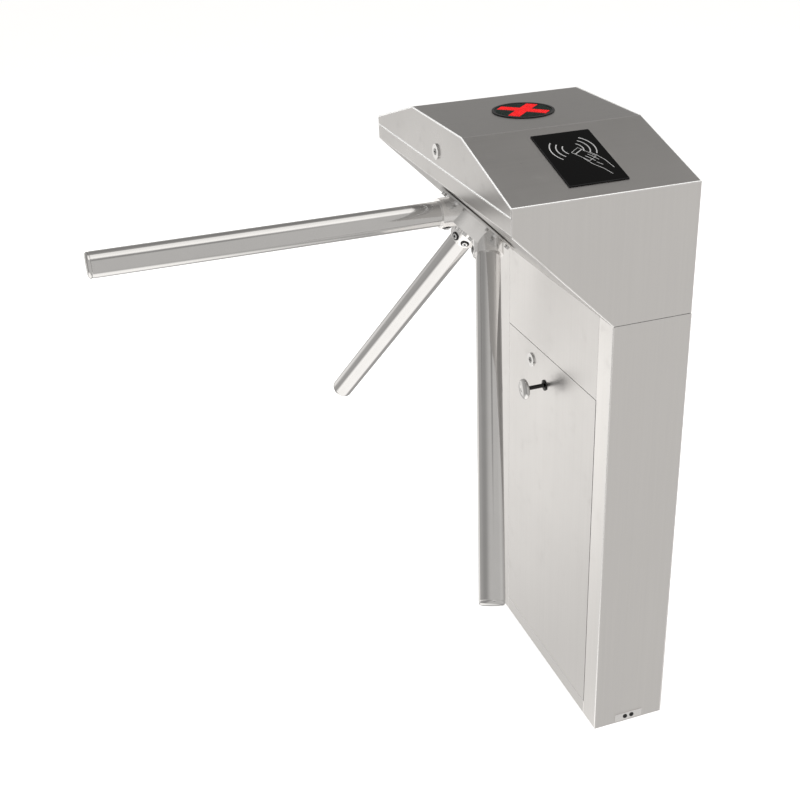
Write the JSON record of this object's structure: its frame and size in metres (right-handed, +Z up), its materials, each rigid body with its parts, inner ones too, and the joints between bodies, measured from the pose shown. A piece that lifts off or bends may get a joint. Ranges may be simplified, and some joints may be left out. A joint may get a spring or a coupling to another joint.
{
  "type": "visitor counter turnstile",
  "caption": "Waist-high stainless turnstile with three arms on an inclined rotor, a sloped lid with direction light and card reader window, and a lockable side door.",
  "frame": {"origin": "on the floor, at the centre of the base plate's four anchor holes", "axes": "+Z up, -X towards the passage that the arms close, -Y towards the front face with the reader slope"},
  "size_m": [0.8063, 0.7664, 0.9815],
  "materials": {
    "satin_steel": "brushed satin stainless steel",
    "lid_steel": "brushed satin stainless steel",
    "polished_steel": "mirror polished stainless steel",
    "zinc_steel": "zinc plated steel",
    "base_steel": "grey primed steel plate",
    "bright_fastener": "bright steel",
    "cast_aluminium": "machined aluminium",
    "ground_steel": "ground bearing steel",
    "gear_nylon": "natural nylon",
    "coil_case": "black oxide with tape",
    "black_plastic": "black moulded plastic",
    "black_lens": "gloss black acrylic",
    "black_panel": "gloss black acrylic window",
    "board_green": "solder mask green",
    "psu_case": "bright folded aluminium"
  },
  "bodies": {
    "cabinet": {"base_plate": "base_steel", "front_panel": "satin_steel", "rear_panel": "satin_steel", "right_side_panel": "satin_steel", "front_stile": "satin_steel", "rear_stile": "satin_steel", "upper_side_panel": "satin_steel", "bottom_rail": "satin_steel", "cable_outlet_plate": "polished_steel", "frame_brackets": "zinc_steel", "head_front_panel": "satin_steel", "head_rear_panel": "satin_steel", "head_right_panel": "satin_steel", "head_left_strip": "satin_steel", "incline_plate": "satin_steel", "head_bottom_panel": "satin_steel", "lid_hinge_bases": "zinc_steel", "mech_plate": "cast_aluminium", "mech_fasteners": "bright_fastener", "bearing_housing": "cast_aluminium", "bearing_outer_races": "ground_steel", "pawl_posts": "ground_steel", "solenoids": "coil_case", "return_springs": "ground_steel", "bridge_plate": "cast_aluminium", "bridge_standoffs": "bright_fastener", "damper_body": "black_plastic", "encoder_body": "black_plastic", "control_board": "board_green", "power_supply": "psu_case"},
    "tripod": {"main_shaft": "ground_steel", "hub_flange": "polished_steel", "hub_drum": "polished_steel", "hub_screws": "bright_fastener", "arm_1": "polished_steel", "arm_2": "polished_steel", "arm_3": "polished_steel", "arm_end_caps": "polished_steel", "locking_disc": "ground_steel", "main_gear": "gear_nylon", "bearing_inner_races": "ground_steel"},
    "damper_shaft": {"damper_pinion": "gear_nylon"},
    "encoder_shaft": {"encoder_pinion": "gear_nylon"},
    "entry_pawl": {"pawl_1": "zinc_steel"},
    "exit_pawl": {"pawl_2": "zinc_steel"},
    "entry_plunger": {"plunger_1": "ground_steel"},
    "exit_plunger": {"plunger_2": "ground_steel"},
    "lid": {"lid_skin": "lid_steel", "lid_gables": "lid_steel", "lid_hinge_leaves": "zinc_steel", "indicator_bezel": "black_plastic", "indicator_lens": "black_lens", "reader_window": "black_panel", "lid_lock_body": "polished_steel"},
    "lid_lock": {"lid_lock_plug": "zinc_steel"},
    "door": {"door_panel": "satin_steel", "door_pivots": "zinc_steel", "door_knob": "polished_steel", "door_lock_body": "polished_steel"},
    "door_lock": {"door_lock_plug": "zinc_steel"}
  },
  "joints": [
    {"name": "tripod_spin", "type": "hinge", "parent": "cabinet", "child": "tripod", "pos_m": [-0.15146, 0.075, 0.82446], "axis": [-0.7071, 0, -0.7071], "continuous": true},
    {"name": "damper_spin", "type": "hinge", "parent": "cabinet", "child": "damper_shaft", "pos_m": [-0.1062, 0.1451, 0.86971], "axis": [-0.7071, 0, -0.7071], "continuous": true},
    {"name": "encoder_spin", "type": "hinge", "parent": "cabinet", "child": "encoder_shaft", "pos_m": [-0.1062, 0.0049, 0.86971], "axis": [-0.7071, 0, -0.7071], "continuous": true},
    {"name": "entry_plunger_slide", "type": "slide", "parent": "cabinet", "child": "entry_plunger", "axis": [0.3536, -0.866, -0.3536], "range_m": [0, 0.0049], "stiffness_N_per_m": 150, "springref_m": -0.012, "deforming": ["return_springs"]},
    {"name": "exit_plunger_slide", "type": "slide", "parent": "cabinet", "child": "exit_plunger", "axis": [0.3536, 0.866, -0.3536], "range_m": [0, 0.0049], "stiffness_N_per_m": 150, "springref_m": -0.012},
    {"name": "entry_pawl_swing", "type": "hinge", "parent": "cabinet", "child": "entry_pawl", "pos_m": [-0.08822, 0.14164, 0.83759], "axis": [-0.7071, 0, -0.7071], "range_deg": [0, 10.06]},
    {"name": "exit_pawl_swing", "type": "hinge", "parent": "cabinet", "child": "exit_pawl", "pos_m": [-0.08822, 0.00836, 0.83759], "axis": [0.7071, 0, 0.7071], "range_deg": [0, 10.06]},
    {"name": "lid_hinge", "type": "hinge", "parent": "cabinet", "child": "lid", "pos_m": [0.062, 0.075, 0.914], "axis": [0, 1, 0], "range_deg": [0, 75]},
    {"name": "lid_lock_turn", "type": "hinge", "parent": "lid", "child": "lid_lock", "pos_m": [-0.218, 0.073, 0.936], "axis": [1, 0, 0], "range_deg": [0, 90]},
    {"name": "door_hinge", "type": "hinge", "parent": "cabinet", "child": "door", "pos_m": [-0.0555, -0.1366, 0.3], "axis": [0, 0, 1], "range_deg": [0, 60]},
    {"name": "door_lock_turn", "type": "hinge", "parent": "door", "child": "door_lock", "pos_m": [-0.062, 0.068, 0.5692], "axis": [-1, 0, 0], "range_deg": [0, 90]}
  ],
  "couplings": [
    {"joint": "damper_spin", "follows": "tripod_spin", "ratio": -2.5},
    {"joint": "encoder_spin", "follows": "tripod_spin", "ratio": -2.5},
    {"joint": "entry_pawl_swing", "follows": "entry_plunger_slide", "rad_per_m": 35.714},
    {"joint": "exit_pawl_swing", "follows": "exit_plunger_slide", "rad_per_m": 35.714}
  ]
}
